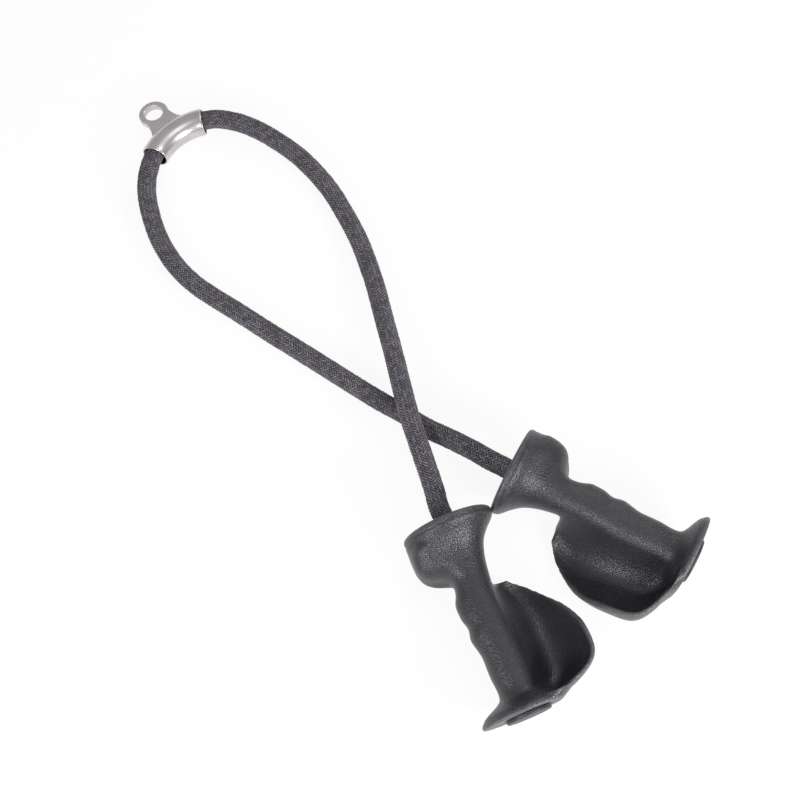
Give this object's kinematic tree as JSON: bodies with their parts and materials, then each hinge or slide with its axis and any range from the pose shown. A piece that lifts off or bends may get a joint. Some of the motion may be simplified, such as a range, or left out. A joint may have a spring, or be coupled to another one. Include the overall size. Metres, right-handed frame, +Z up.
{
  "type": "triceps rope attachment",
  "caption": "Cable-machine rope attachment: braided rope bent through a steel hanger with an eye, and a flared, scooped rubber handle on each end.",
  "frame": {"origin": "on the floor plane under the middle of the hanger and the handles, in the pose of the picture", "axes": "+Z up from the floor, +Y from the handles towards the hanger's eye, +X towards the side where handle B lies"},
  "size_m": [0.2287, 0.6087, 0.0699],
  "materials": {
    "cast_steel": "satin eye plate, smoother polished sleeve",
    "plain_steel": "plain machined, hidden inside the handles",
    "black_rubber": "pebbled leather-like grain with a soft sheen",
    "plug_rubber": "smooth moulded",
    "braid": "matte charcoal herringbone braid"
  },
  "bodies": {
    "rope": {"rope_in_sleeve": "braid", "rope_leg_a": "braid", "rope_leg_b": "braid", "rope_end_a": "braid", "rope_end_b": "braid", "thrust_washer_a": "plain_steel", "thrust_washer_b": "plain_steel", "ferrule_a": "plain_steel", "ferrule_b": "plain_steel"},
    "hanger": {"hanger": "cast_steel"},
    "handle_a": {"handle_a": "black_rubber", "end_plug_a": "plug_rubber"},
    "handle_b": {"handle_b": "black_rubber", "end_plug_b": "plug_rubber"}
  },
  "joints": [
    {"name": "hanger_slide_along_bend", "type": "hinge", "parent": "rope", "child": "hanger", "pos_m": [-0.0034, 0.2116, 0.02069], "axis": [-0.0096, 0.1885, 0.982], "range_deg": [-12, 12]},
    {"name": "handle_a_spin", "type": "hinge", "parent": "rope", "child": "handle_a", "pos_m": [-0.0417, -0.154, 0.0351], "axis": [-0.2693, -0.9631, 0], "continuous": true},
    {"name": "handle_b_spin", "type": "hinge", "parent": "rope", "child": "handle_b", "pos_m": [0.0227, -0.1506, 0.0351], "axis": [0.4102, -0.912, 0], "continuous": true}
  ]
}
